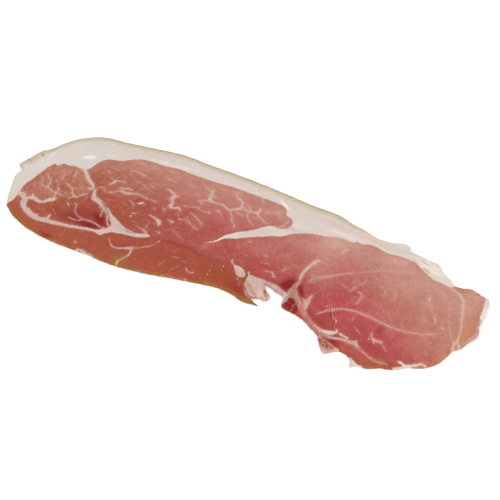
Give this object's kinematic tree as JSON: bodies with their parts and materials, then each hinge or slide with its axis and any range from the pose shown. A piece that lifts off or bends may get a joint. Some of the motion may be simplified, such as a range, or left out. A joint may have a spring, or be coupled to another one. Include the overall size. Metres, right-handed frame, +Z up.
{
  "type": "prosciutto slice",
  "caption": "Whole thin slice of dry-cured ham, lying flat: rosy lean with pale seams, a cap of fat and rind along one long edge, and a notch where the bone was.",
  "frame": {"origin": "middle of the slice's outline box, on the surface it lies on", "axes": "+X along the slice towards the knuckle end, +Y across it towards the rind, +Z up"},
  "size_m": [0.279, 0.0991, 0.0046],
  "materials": {
    "cured_meat": null
  },
  "bodies": {
    "root": {"slice": "cured_meat"}
  },
  "joints": []
}
